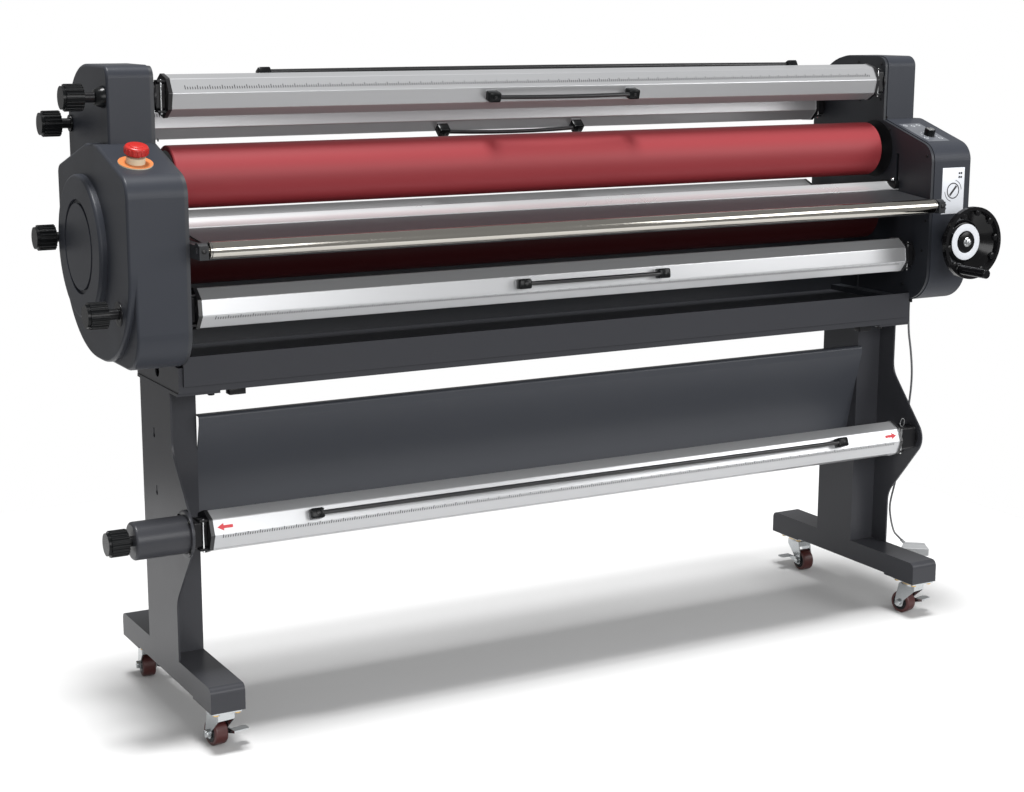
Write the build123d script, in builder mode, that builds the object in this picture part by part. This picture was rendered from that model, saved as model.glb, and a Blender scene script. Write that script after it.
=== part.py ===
from build123d import *
from math import cos, degrees, radians, sin, tan
import os

os.makedirs("parts", exist_ok=True)

# Large format roll laminator on a castered stand.
# Millimetres. X runs along the rollers, -Y is the operator's side, Z is up from the floor.

# Clearances
running = 0.05
part_gap = 0.4
sheet = 3

# Width, from which the frames, covers, stand and shafts take theirs
roller_half = 860
frame_gap = 28
frame_plate = 8
frame_inner = roller_half + frame_gap
frame_outer = frame_inner + frame_plate

# Stand
leg_x = frame_inner - 24
foot_width = 70
foot_length = 541
foot_height = 47
foot_bend = 14
doubler = 4
doubler_length = 102
doubler_y = 219.5
column_wall = 3.5
column_front = -40
column_back = 90
plate = 4
flange_front = -135
flange_back = 105
flange_inner = leg_x - 52
flange_thickness = 6
plate_front = -91
bulge_low = 262
bulge_high = 563
bulge_lead = 38
slope_gauge = 2.5
slope_bend = 5
slope_top = 620
slope_edge = 603
slope_middle = 530
slope_low = 460
slope_bottom = 392
slope_lip = 18
slope_front = -54
slope_back = -2
bulge_bend = 45
waist_bend = 60
keyhole = 5
keyhole_places = ((12, 577), (7, 461))

# Casters
front_caster_y = -231
rear_caster_y = 208
wheel_radius = 26
wheel_width = 28
wheel_gap = 1.5
trail = 24
axle_radius = 5
cheek = 2.5
crown_height = 15
crown_radius = 23
race_radius = 22
race_height = 6
kingpin_radius = 5
caster_plate_thickness = 3
caster_plate_width = 62
caster_plate_length = 78
caster_bolt_x = 44
caster_bolt_y = 58
caster_bolt_hole = 4.5
caster_plate_corner = 6
axle_overhang = 6
pedal_reach = 30
pedal_rise = 8
pedal_eye = 8
pedal_gauge = 2.5
pedal_width = 34
pedal_depth = 20
caster_places = {
    "front_left": (-1, front_caster_y, 8),
    "front_right": (1, front_caster_y, 12),
    "rear_left": (-1, rear_caster_y, -8),
    "rear_right": (1, rear_caster_y, 178),
}

# Head, seen from the side as Y and Z
beam_bottom = 686
beam_height = 50
beam_front = -140
beam_back = 110
beam_half = frame_outer + 1
beam_cable_hole = 12
lip_thickness = 6
lip_bottom = 700
lip_top = 757
frame_foot_inset = 16
frame_foot_width = 34
frame_foot_depth = 220
frame_foot_y = -10
cover_bottom = 740
cover_front = -205
cover_back = 236
cover_top = 1300
tower_front = -30
slope_foot = 1154.3
slope_angle = 17.6
front_bend = 45
low_bend = 75
low_bend_outer = 190
back_bend = 220
tower_front_bend = 24
tower_back_bend = 130
shoulder_y = 40
shoulder_z = 1153
shoulder_back_z = 1098
tower_outer = frame_outer + 84
step_outer = frame_outer + 98
cover_outer = frame_outer + 110
cover_wall = 3.5
cover_step = 30
edge_round = 6
disc_y = 60
disc_z = 953
disc_radius = 140
disc_height = 15
disc_groove = 92
disc_groove_width = 8
disc_groove_depth = 5

# Rollers
roller_radius = 61.5
sleeve_thickness = 9.5
core_wall = 8
core_end = 30
journal_radius = 17.5
journal_bore = 6
nip_gap = 0.6
upper_z = 1085
lift_travel = 25
upper_opening = 50
block_width = 74
block_height = 70
block_depth = 30
lift_rod_radius = 8
lift_rod_length = 55
guide_height = 90
guide_drop = 15
guide_width = 8
latch_slot = 10
latch_slot_height = 75
latch_slot_y = -84
latch_slot_z = 1041
panel_y = 103
panel_top = 990
panel_return = 12
panel_gauge = 2.5

# Feed side
table_top = 995
table_front = -222
table_back = -93
table_drop = 14
table_lip_bottom = 950
guide_front = -92
guide_back = -60
guide_bottom = 994
guide_top = 1012
guide_ridge = 6
guide_lip = 2.5
guide_sag = 2
guide_wall = 2.5
guide_channel_width = 8
guide_channel_height = 6
idler_y = -240
idler_z = 970
idler_radius = 16
idler_half = frame_inner - 22
idler_journal = 6
bracket_inner = frame_inner - 18
bracket_drop = 3

# Film shafts
flat_radius = 38
flat_corner = 4
tube_bore = 33
tube_left = frame_inner - 31
tube_right = frame_inner - 40
takeup_right = frame_inner - 60
cap_thickness = 8
cap_radius = 39.5
spigot_radius = 12
spigot_length = 16
spigot_hole = 5
shaft_axle = 10
chuck_disc = 26
chuck_disc_thickness = 4
chuck_width = 44
chuck_height = 52
knob_radius = 24
knob_length = 40
knob_rib = 1.8
knob_ribs = 20
knob_screw = 6
handle_clamp = 26
handle_clamp_width = 20
handle_stand = 18
handle_bow = 6
low_handle_stand = 12
low_handle_bow = 2
handle_radius = 4.5
brake_radius = 37
brake_length = 110
takeup_y = -165
takeup_z = 418

# Drive
gearbox_outer = frame_outer + 89
gearbox_inner = frame_outer + 36
gearbox_low = 905
gearbox_high = 1010
gearbox_half = 52
motor_radius = 38
motor_length = 135
motor_x = frame_outer + 52
motor_z = 942
coupling_radius = 28
coupling_inner = frame_outer + 4
coupling_outer = frame_outer + 32
output_radius = 12
output_length = 42
standoff_radius = 6

# Handwheel
wheel_x = frame_outer + 50
wheel_z = 886
rim_radius = 82.5
rim_y = -290
hub_face_y = -262
hub_back_y = -209
hub_radius = 24
spindle_radius = 8
spindle_length = 60
grip_offset = (-34, -59)
grip_radius = 10.5
grip_length = 84
grip_pin = 4

# Controls
control_y = -125
estop_x = -frame_outer - 64
dial_x = frame_outer + 41
dial_y = -133
estop_plate = 32.5
estop_collar_radius = 18
estop_collar_height = 14
estop_head = 22
estop_head_height = 15
estop_stem = 9
estop_travel = 6
dial_radius = 12.5
dial_height = 15
dial_stem = 4
inlet_x = -frame_outer - 44
inlet_z = 1060
inlet_width = 48
inlet_height = 26
inlet_depth = 30

# Foot switch, turned towards the operator, and its cable
switch_x = 1176
switch_y = 119
switch_turn = -38
switch_depth = 58
switch_near_width = 73
switch_far_width = 53
switch_height = 36
switch_skirt = 17
switch_block = 14
switch_base_width = 46
switch_base_height = 20
switch_wall = 3
switch_gap = 1.5
switch_pin = 2.5
switch_pin_depth = 9
switch_pin_z = 26
cable_diameter = 5
cable_boss = 4
gland_x = 940
gland_y = -87
gland_radius = 8
gland_length = 16
cable_route = [
    (940, -87, 724),
    (940, -87, 664),
    (946, -96, 603),
    (951, -98, 540),
    (953, -89, 474),
    (953, -78, 408),
    (952, -65, 342),
    (955, -52, 279),
    (969, -22, 229),
    (1000, 20, 186),
    (1038, 58, 143),
    (1078, 96, 106),
    (1115, 131, 78),
    (1143, 155.5, 61.4),
    (1162.3, 155.1, 44),
]

# Worked-out heights
caster_plate_top = wheel_radius * 2 + 34
foot_bottom = caster_plate_top + doubler
foot_top = foot_bottom + foot_height
plate_bottom = caster_plate_top - caster_plate_thickness
race_bottom = plate_bottom - race_height
crown_top = race_bottom - 0.3
crown_bottom = crown_top - crown_height
flange_bottom = beam_bottom - flange_thickness
beam_top = beam_bottom + beam_height
lower_z = upper_z - lift_travel - nip_gap - 2 * roller_radius
column_outer = leg_x + foot_width / 2
brake_end = column_outer + brake_length
far_out = cover_outer + 100


def keep(piece, name):
    """Label a finished piece and write it."""
    piece.label = name
    export_step(piece, f"parts/{name}.step")


def across(x):
    """Plane square to the rollers, with Y to the right and Z up."""
    return Plane.YZ.offset(x)


def facing(y):
    """Plane facing the operator, with X to the right and Z up."""
    return Plane.XZ.offset(-y)


def level(z):
    return Plane.XY.offset(z)


def rod(y, z, radius, start, end, mode=Mode.ADD):
    """Round bar along X."""
    with BuildSketch(across(start)) as section:
        with Locations((y, z)):
            Circle(radius)
    extrude(section.sketch, amount=end - start, mode=mode)


# Stand


def foot_beam(side, name):
    centre = side * leg_x
    with BuildPart() as foot:
        with BuildSketch(across(centre - foot_width / 2)):
            with Locations((0, foot_bottom + foot_height / 2)):
                Rectangle(foot_length, foot_height)
            fillet(vertices().group_by(Axis.Y)[-1], foot_bend)
        extrude(amount=foot_width)
        with BuildSketch(level(foot_bottom)):
            with Locations((centre, 0)):
                Rectangle(foot_width - 2 * sheet, foot_length - 2 * foot_bend)
        extrude(amount=foot_height - sheet, mode=Mode.SUBTRACT)
        with BuildSketch(level(foot_bottom - doubler)):
            with Locations((centre, doubler_y), (centre, -doubler_y)):
                Rectangle(foot_width, doubler_length)
            with Locations((centre, front_caster_y), (centre, rear_caster_y)):
                with GridLocations(caster_bolt_x, caster_bolt_y, 2, 2):
                    Circle(caster_bolt_hole, mode=Mode.SUBTRACT)
        extrude(amount=doubler)
    keep(foot.part, name)


def column(side, name):
    """Box column, its shaped outer plate and its top flange, welded into one."""
    outer = side * column_outer
    box_outer = side * (column_outer - plate)
    box_width = foot_width - plate
    box_centre = side * (column_outer - plate - box_width / 2)
    depth = column_back - column_front
    plate_top = flange_bottom
    apex_front = takeup_y - bulge_lead
    with BuildPart() as post:
        with BuildSketch(level(foot_top)):
            with Locations((box_centre, (column_back + column_front) / 2)):
                Rectangle(box_width, depth)
                Rectangle(box_width - 2 * column_wall, depth - 2 * column_wall, mode=Mode.SUBTRACT)
        extrude(amount=flange_bottom - foot_top)
        with BuildSketch(across(box_outer)):
            with BuildLine():
                Polyline(
                    (column_back, foot_top),
                    (column_back, plate_top),
                    (plate_front, plate_top),
                    (plate_front, bulge_high),
                    (apex_front, takeup_z + 15),
                    (apex_front, takeup_z - 18),
                    (plate_front, bulge_low),
                    (plate_front, foot_top),
                    close=True,
                )
            make_face()
            apex = vertices().sort_by(Axis.X)[:2]
            fillet(apex, bulge_bend)
            waist = [v for v in vertices() if abs(v.X - plate_front) < 0.1]
            waist = [v for v in waist if bulge_low - 1 < v.Y < bulge_high + 1]
            fillet(waist, waist_bend)
            with Locations((takeup_y, takeup_z)):
                Circle(shaft_axle + running, mode=Mode.SUBTRACT)
            for slot_y, slot_z in keyhole_places:
                with Locations((slot_y, slot_z)):
                    Circle(keyhole, mode=Mode.SUBTRACT)
                with Locations((slot_y, slot_z + 1.5 * keyhole)):
                    Rectangle(keyhole, 3 * keyhole, mode=Mode.SUBTRACT)
        extrude(amount=side * plate)
        with BuildSketch(level(flange_bottom)):
            flange_width = column_outer - flange_inner
            flange_length = flange_back - flange_front
            with Locations((outer - side * flange_width / 2, (flange_back + flange_front) / 2)):
                Rectangle(flange_width, flange_length)
        extrude(amount=flange_thickness)
    keep(post.part, name)


def slope_panel():
    """Bent sheet between the columns, leaning back towards the floor."""
    half = leg_x - foot_width / 2
    with BuildPart() as panel:
        with BuildSketch(across(-half)):
            with BuildLine():
                FilletPolyline(
                    (slope_front + slope_lip, slope_top),
                    (slope_front, slope_top),
                    (slope_front, slope_edge),
                    (slope_front + (slope_back - slope_front) * 0.38, slope_middle),
                    (slope_front + (slope_back - slope_front) * 0.71, slope_low),
                    (slope_back, slope_bottom),
                    (slope_back - slope_lip, slope_bottom),
                    radius=slope_bend,
                )
            trace(line_width=slope_gauge)
        extrude(amount=2 * half)
    keep(panel.part, "slope_panel")


def base_beam():
    with BuildPart() as beam:
        with BuildSketch(across(-beam_half)):
            with Locations(((beam_front + beam_back) / 2, beam_bottom + beam_height / 2)):
                Rectangle(beam_back - beam_front, beam_height)
                Rectangle(beam_back - beam_front - 2 * sheet, beam_height - 2 * sheet, mode=Mode.SUBTRACT)
        extrude(amount=2 * beam_half)
        for side in (-1, 1):
            with BuildSketch(across(side * (beam_half - sheet))):
                with Locations(((beam_front + beam_back) / 2, beam_bottom + beam_height / 2)):
                    Rectangle(beam_back - beam_front, beam_height)
                    Circle(beam_cable_hole, mode=Mode.SUBTRACT)
            extrude(amount=side * sheet)
        with BuildSketch(across(-frame_inner)):
            with Locations((beam_front - lip_thickness / 2, lip_bottom + (lip_top - lip_bottom) / 2)):
                Rectangle(lip_thickness, lip_top - lip_bottom)
        extrude(amount=2 * frame_inner)
    keep(beam.part, "base_beam")


# Casters, made with the swivel axis on Z and then set in place


def caster_plate():
    with BuildPart() as top:
        with BuildSketch(level(plate_bottom)):
            Rectangle(caster_plate_width, caster_plate_length)
            fillet(vertices(), caster_plate_corner)
            with GridLocations(caster_bolt_x, caster_bolt_y, 2, 2):
                Circle(caster_bolt_hole, mode=Mode.SUBTRACT)
            Circle(kingpin_radius + running, mode=Mode.SUBTRACT)
        extrude(amount=caster_plate_thickness)
        with BuildSketch(level(race_bottom)):
            Circle(race_radius)
            Circle(kingpin_radius + running, mode=Mode.SUBTRACT)
        extrude(amount=race_height)
    return top.part


fork_width = wheel_width + 2 * wheel_gap + 2 * cheek


def caster_fork():
    with BuildPart() as fork:
        with BuildSketch(level(crown_top - 4)):
            Circle(crown_radius)
        extrude(amount=4)
        with BuildSketch(level(crown_top)):
            Circle(kingpin_radius)
        extrude(amount=plate_bottom + caster_plate_thickness - 1 - crown_top)
        with BuildSketch(across(-fork_width / 2)):
            with BuildLine():
                Polyline(
                    (-19, crown_top - 3),
                    (trail + 2, crown_top - 3),
                    (trail + 11, wheel_radius + 6),
                    (trail + 10, wheel_radius - 10),
                    (trail - 10, wheel_radius - 10),
                    (trail - 14, wheel_radius + 8),
                    (-19, crown_bottom),
                    close=True,
                )
            make_face()
            fillet(vertices().group_by(Axis.Y)[0], 8)
        extrude(amount=fork_width)
        with BuildSketch(level(0)):
            with Locations((0, trail)):
                Rectangle(wheel_width + 2 * wheel_gap, 200)
        extrude(amount=crown_bottom, mode=Mode.SUBTRACT)
        rod(trail, wheel_radius, axle_radius, -fork_width / 2 - axle_overhang, fork_width / 2 + axle_overhang)
    return fork.part


def caster_wheel():
    with BuildPart() as wheel:
        rod(trail, wheel_radius, wheel_radius, -wheel_width / 2, wheel_width / 2)
        fillet(edges().filter_by(GeomType.CIRCLE), 4)
        rod(trail, wheel_radius, axle_radius + running, -wheel_width, wheel_width, mode=Mode.SUBTRACT)
    return wheel.part


def caster_pedal():
    """Brake lever on the axle's end: an arm outside the fork and a tread that stands out sideways."""
    arm_inner = fork_width / 2 + part_gap
    tread_y = trail - pedal_reach
    tread_z = wheel_radius + pedal_rise
    with BuildPart() as pedal:
        with BuildSketch(across(arm_inner)):
            with Locations((trail, wheel_radius)):
                Circle(pedal_eye)
            with BuildLine():
                Polyline(
                    (trail, wheel_radius + pedal_eye),
                    (tread_y - pedal_depth / 2, tread_z),
                    (tread_y - pedal_depth / 2, tread_z - pedal_gauge - 2),
                    (trail, wheel_radius - pedal_eye),
                    close=True,
                )
            make_face()
            with Locations((trail, wheel_radius)):
                Circle(axle_radius + running, mode=Mode.SUBTRACT)
        extrude(amount=pedal_gauge)
        with BuildSketch(level(tread_z - pedal_gauge)):
            with Locations((arm_inner + pedal_width / 2, tread_y)):
                RectangleRounded(pedal_width, pedal_depth, 5)
            with Locations((arm_inner + 3, tread_y)):
                Rectangle(6, pedal_depth)
        extrude(amount=pedal_gauge)
    return pedal.part


def casters():
    masters = {
        "caster_fork": caster_fork(),
        "caster_wheel": caster_wheel(),
        "caster_pedal": caster_pedal(),
    }
    top = caster_plate()
    plates = []
    for corner, (side, place_y, turn) in caster_places.items():
        place = (side * leg_x, place_y, 0)
        plates.append(top.moved(Location(place)))
        for name, master in masters.items():
            keep(master.moved(Location(place, (0, 0, turn))), f"{name}_{corner}")
    keep(Compound(children=plates), "caster_plates")


# Head frame and covers


def slope_height(y):
    """Height of the sloping control face above a place in Y."""
    return slope_foot + (y - tower_front) * tan(radians(slope_angle))


def tower_outline(inset=0):
    """Side view of the cover with its tower."""
    with BuildLine() as line:
        Polyline(
            (cover_front, cover_bottom),
            (cover_front, slope_height(cover_front)),
            (tower_front, slope_foot),
            (tower_front, cover_top),
            (cover_back, cover_top),
            (cover_back, cover_bottom),
            close=True,
        )
    make_face(line.edges())
    bends = {
        (cover_front, cover_bottom): low_bend,
        (cover_front, slope_height(cover_front)): front_bend,
        (tower_front, cover_top): min(tower_front_bend, 0.9 * (cover_top - slope_foot)),
        (cover_back, cover_top): tower_back_bend,
        (cover_back, cover_bottom): back_bend,
    }
    round_corners(bends)
    if inset:
        offset(amount=-inset, kind=Kind.INTERSECTION, mode=Mode.REPLACE)


def lower_outline(corner, inset=0):
    """Side view of the wide lower part of the cover."""
    with BuildLine() as line:
        Polyline(
            (cover_front, cover_bottom),
            (cover_front, slope_height(cover_front)),
            (tower_front, slope_foot),
            (shoulder_y, shoulder_z),
            (cover_back, shoulder_back_z),
            (cover_back, cover_bottom),
            close=True,
        )
    make_face(line.edges())
    bends = {
        (cover_front, cover_bottom): corner,
        (cover_front, slope_height(cover_front)): front_bend,
        (tower_front, slope_foot): 40,
        (shoulder_y, shoulder_z): 40,
        (cover_back, shoulder_back_z): 20,
        (cover_back, cover_bottom): back_bend,
    }
    round_corners(bends)
    if inset:
        offset(amount=-inset, kind=Kind.INTERSECTION, mode=Mode.REPLACE)


def round_corners(bends):
    """Fillet each named corner of the sketch by its own radius."""
    for (y, z), radius in bends.items():
        corner = [v for v in vertices() if abs(v.X - y) < 0.01 and abs(v.Y - z) < 0.01]
        fillet(corner, radius)


def round_outer_rim(side, x):
    """Round the outline where it meets the outer face at x."""
    rim = faces().filter_by(Axis.X).sort_by(Axis.X)[-1 if side > 0 else 0]
    fillet(rim.outer_wire().edges(), edge_round)


def cover_blank(side, layers):
    """Solid cover: one rounded layer on another, each further out."""
    for outline, corner, start, end in layers:
        with BuildPart(mode=Mode.PRIVATE) as layer:
            with BuildSketch(across(side * start)):
                outline() if corner is None else outline(corner)
            extrude(amount=side * (end - start))
            round_outer_rim(side, side * end)
        add(layer.part)


def cover_cavity(side, layers):
    for outline, corner, end in layers:
        with BuildSketch(across(side * frame_outer)) as hollow:
            if corner is None:
                outline(inset=cover_wall)
            else:
                outline(corner, inset=cover_wall)
        extrude(hollow.sketch, amount=side * (end - cover_wall - frame_outer), mode=Mode.SUBTRACT)


def left_cover():
    deep = frame_outer + cover_step
    with BuildPart() as cover:
        cover_blank(-1, (
            (tower_outline, None, frame_outer, tower_outer),
            (lower_outline, low_bend, deep, step_outer),
            (lower_outline, low_bend_outer, deep, cover_outer),
        ))
        with BuildPart(mode=Mode.PRIVATE) as disc:
            rod(disc_y, disc_z, disc_radius, -cover_outer + 2, -cover_outer - disc_height)
            fillet(edges().group_by(Axis.X)[0], edge_round)
            with BuildSketch(across(-cover_outer - disc_height)):
                with Locations((disc_y, disc_z)):
                    Circle(disc_groove)
                    Circle(disc_groove - disc_groove_width, mode=Mode.SUBTRACT)
            extrude(amount=disc_groove_depth, mode=Mode.SUBTRACT)
        add(disc.part)
        cover_cavity(-1, (
            (tower_outline, None, tower_outer),
            (lower_outline, low_bend, step_outer),
            (lower_outline, low_bend_outer, cover_outer),
        ))
        for name in ("upper_supply", "rear_upper", "rear_lower", "lower_supply"):
            shaft = shafts[name]
            rod(shaft["y"], shaft["z"], shaft["hole"], -far_out, -frame_outer - 20, mode=Mode.SUBTRACT)
        control_hole(estop_x, control_y, estop_stem + 2)
        with BuildSketch(facing(cover_back + 5)):
            with Locations((inlet_x, inlet_z)):
                Rectangle(inlet_width + 2 * running, inlet_height + 2 * running)
        extrude(amount=15, mode=Mode.SUBTRACT)
    keep(cover.part, "left_cover")


def right_cover():
    with BuildPart() as cover:
        cover_blank(1, (
            (tower_outline, None, frame_outer, tower_outer),
            (lower_outline, low_bend, frame_outer + cover_step, cover_outer),
        ))
        cover_cavity(1, (
            (tower_outline, None, tower_outer),
            (lower_outline, low_bend, cover_outer),
        ))
        with BuildSketch(facing(cover_front - 10)):
            with Locations((wheel_x, wheel_z)):
                Circle(spindle_radius + running)
        extrude(amount=-30, mode=Mode.SUBTRACT)
        control_hole(dial_x, dial_y, dial_stem + running)
        with BuildSketch(level(cover_bottom - 5)):
            with Locations((gland_x, gland_y)):
                Circle(gland_radius - 2)
        extrude(amount=20, mode=Mode.SUBTRACT)
    keep(cover.part, "right_cover")


def control_plane(x, y):
    """Plane on the sloping control face, its normal pointing out."""
    lean = radians(slope_angle)
    return Plane(
        origin=(x, y, slope_height(y)),
        x_dir=(1, 0, 0),
        z_dir=(0, -sin(lean), cos(lean)),
    )


def control_hole(x, y, radius):
    with BuildSketch(control_plane(x, y).offset(5)) as hole:
        Circle(radius)
    extrude(hole.sketch, amount=-20, mode=Mode.SUBTRACT)


def side_frame(side, name):
    """Steel side plate with the guides for the upper roller's block."""
    inset = 2
    with BuildPart() as frame:
        with BuildSketch(across(side * frame_inner)):
            tower_outline(inset=inset)
            with Locations((0, upper_z - lift_travel / 2)):
                Circle(upper_opening, mode=Mode.SUBTRACT)
            with Locations((0, lower_z)):
                Circle(journal_radius + running, mode=Mode.SUBTRACT)
            with Locations((latch_slot_y, latch_slot_z)):
                SlotOverall(latch_slot_height, latch_slot, rotation=90, mode=Mode.SUBTRACT)
            for shaft_name, shaft in shafts.items():
                if shaft_name != "take_up":
                    with Locations((shaft["y"], shaft["z"])):
                        Circle(shaft_axle + running, mode=Mode.SUBTRACT)
        extrude(amount=side * frame_plate)
        reach = block_width / 2 + part_gap
        for guide in (-1, 1):
            with BuildSketch(across(side * frame_outer)):
                with Locations((guide * (reach + guide_width / 2), upper_z - guide_drop)):
                    Rectangle(guide_width, guide_height)
            extrude(amount=side * (block_depth - 4))
        with BuildSketch(level(beam_top)):
            with Locations((side * (frame_inner - frame_foot_inset), frame_foot_y)):
                Rectangle(frame_foot_width, frame_foot_depth)
        extrude(amount=cover_bottom + 8 - beam_top)
    keep(frame.part, name)


def back_panel():
    """Bent sheet that closes the head behind the lower roller and ties the side frames."""
    with BuildPart() as panel:
        with BuildSketch(across(-frame_inner)):
            with BuildLine():
                FilletPolyline(
                    (panel_y, beam_top),
                    (panel_y, panel_top),
                    (panel_y + panel_return, panel_top),
                    radius=4,
                )
            trace(line_width=panel_gauge)
        extrude(amount=2 * frame_inner)
        with BuildSketch(level(beam_top - panel_gauge)):
            Rectangle(3 * frame_inner, 3 * frame_inner)
        extrude(amount=panel_gauge, mode=Mode.SUBTRACT)
    keep(panel.part, "back_panel")


# Rollers


def roller_core(z, left_end, right_end, name):
    """Steel tube with solid ends and drilled journals."""
    core_radius = roller_radius - sleeve_thickness
    inner_half = roller_half - core_end
    with BuildPart() as core:
        rod(0, z, core_radius, -roller_half, roller_half)
        rod(0, z, core_radius - core_wall, -inner_half, inner_half, mode=Mode.SUBTRACT)
        for side, end in ((-1, left_end), (1, right_end)):
            rod(0, z, journal_radius, side * roller_half, side * end)
            rod(0, z, journal_bore, side * (inner_half - 1), side * end, mode=Mode.SUBTRACT)
    keep(core.part, name)


def roller_sleeve(z, name):
    with BuildPart() as sleeve:
        rod(0, z, roller_radius, -roller_half, roller_half)
        chamfer(edges().filter_by(GeomType.CIRCLE), 2)
        rod(0, z, roller_radius - sleeve_thickness, -roller_half, roller_half, mode=Mode.SUBTRACT)
    keep(sleeve.part, name)


def lift_blocks():
    """Bearing blocks of the upper roller, each hung on its lifting rod."""
    blocks = []
    inner = frame_outer + part_gap
    for side in (-1, 1):
        with BuildPart() as block:
            with BuildSketch(across(side * inner)):
                with Locations((0, upper_z)):
                    Rectangle(block_width, block_height)
                    Circle(journal_radius + running, mode=Mode.SUBTRACT)
            extrude(amount=side * block_depth)
            with BuildSketch(level(upper_z + block_height / 2)):
                with Locations((side * (inner + block_depth / 2), 0)):
                    Circle(lift_rod_radius)
            extrude(amount=lift_rod_length)
        blocks.append(block.part)
    keep(Compound(children=blocks), "lift_blocks")


def gear_motor():
    with BuildPart() as motor:
        with BuildSketch(across(-gearbox_outer)):
            with Locations((0, (gearbox_low + gearbox_high) / 2)):
                Rectangle(2 * gearbox_half, gearbox_high - gearbox_low)
                fillet(vertices(), 10)
        extrude(amount=gearbox_outer - gearbox_inner)
        with BuildSketch(facing(gearbox_half)):
            with Locations((-motor_x, motor_z)):
                Circle(motor_radius)
        extrude(amount=-motor_length)
        for leg_y in (-gearbox_half + 9, gearbox_half - 9):
            for leg_z in (gearbox_low + 9, gearbox_high - 9):
                rod(leg_y, leg_z, standoff_radius, -gearbox_inner, -frame_outer)
        rod(0, lower_z, output_radius + running, -gearbox_outer + 5, -gearbox_inner, mode=Mode.SUBTRACT)
    keep(motor.part, "gear_motor")


def drive_coupling():
    with BuildPart() as coupling:
        rod(0, lower_z, coupling_radius, -coupling_outer, -coupling_inner)
        rod(0, lower_z, output_radius, -coupling_outer - output_length, -coupling_outer)
        rod(0, lower_z, journal_radius, -coupling_outer + 4, -coupling_inner, mode=Mode.SUBTRACT)
    keep(coupling.part, "drive_coupling")


# Feed side


def feed_table():
    with BuildPart() as table:
        with BuildSketch(across(-bracket_inner)):
            with BuildLine():
                FilletPolyline(
                    (table_back, table_top - sheet / 2),
                    (table_front + sheet / 2, table_top - table_drop),
                    (table_front + sheet / 2, table_lip_bottom),
                    (table_front + 14, table_lip_bottom),
                    radius=5,
                )
            trace(line_width=sheet)
        extrude(amount=2 * bracket_inner)
    keep(table.part, "feed_table")


def guide_profile():
    """Drawn aluminium bar behind the table, with a ridge and a hollow slope down to the front."""
    ridge = (guide_back - guide_ridge, guide_top)
    toe = (guide_front, guide_bottom + guide_lip)
    middle = ((ridge[0] + toe[0]) / 2 + guide_sag, (ridge[1] + toe[1]) / 2 - guide_sag)
    channel_y = guide_back - guide_wall - guide_channel_width / 2
    channel_z = guide_bottom + guide_wall + guide_channel_height / 2
    with BuildPart() as bar:
        with BuildSketch(across(-frame_inner)):
            with BuildLine():
                Polyline(toe, (guide_front, guide_bottom), (guide_back, guide_bottom), (guide_back, guide_top), ridge)
                ThreePointArc(ridge, middle, toe)
            make_face()
            with Locations((channel_y, channel_z)):
                Rectangle(guide_channel_width, guide_channel_height, mode=Mode.SUBTRACT)
        extrude(amount=2 * frame_inner)
    keep(bar.part, "guide_profile")


def idler_brackets():
    brackets = []
    thickness = frame_inner - bracket_inner
    front = idler_y - idler_radius + 1
    back = cover_front + 60
    for side in (-1, 1):
        with BuildPart() as bracket:
            with BuildSketch(across(side * bracket_inner)):
                with Locations(((front + back) / 2, idler_z - bracket_drop)):
                    Rectangle(back - front, 2 * idler_radius - 2 * bracket_drop)
                with Locations((idler_y, idler_z)):
                    Circle(idler_radius - 1)
                with Locations((idler_y, idler_z)):
                    Circle(idler_journal + running, mode=Mode.SUBTRACT)
            extrude(amount=side * thickness)
        brackets.append(bracket.part)
    keep(Compound(children=brackets), "idler_brackets")


def idler_bar():
    with BuildPart() as bar:
        rod(idler_y, idler_z, idler_radius, -idler_half, idler_half)
        chamfer(edges().filter_by(GeomType.CIRCLE), 1)
        rod(idler_y, idler_z, idler_journal, -frame_inner, frame_inner)
    keep(bar.part, "idler_bar")


# Film shafts. The vertex angle turns the flats. The knob stands off its wall by its own gap.
# Each handle gives the flat's angle above the front, its half length, stand and bow.
shafts = {
    "upper_supply": {
        "y": -5, "z": 1241, "vertex": 8, "wall": tower_outer, "knob_gap": 41, "hole": 19,
        "right": tube_right,
        "handles": (
            (-14.5, 183, handle_stand, handle_bow),
            (120.5, 660, low_handle_stand, low_handle_bow),
        ),
    },
    "rear_upper": {
        "y": 215, "z": 1181, "vertex": -20, "wall": tower_outer, "knob_gap": 24, "hole": 14,
        "right": tube_right,
        "handles": ((-42.5, 183, handle_stand, handle_bow),),
    },
    "rear_lower": {
        "y": 216, "z": 956, "vertex": 0, "wall": cover_outer, "knob_gap": 18, "hole": 11,
        "right": tube_right,
        "handles": (),
    },
    "lower_supply": {
        "y": -135, "z": 848, "vertex": -15, "wall": cover_outer, "knob_gap": 24, "hole": 22,
        "right": tube_right,
        "handles": ((7.5, 183, handle_stand, handle_bow),),
    },
    "take_up": {
        "y": takeup_y, "z": takeup_z, "vertex": 0, "wall": brake_end, "knob_gap": 9, "hole": 12,
        "right": takeup_right,
        "handles": ((22.5, 662, handle_stand, handle_bow),),
    },
}


def knob_face(shaft):
    return shaft["wall"] + shaft["knob_gap"]


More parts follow.
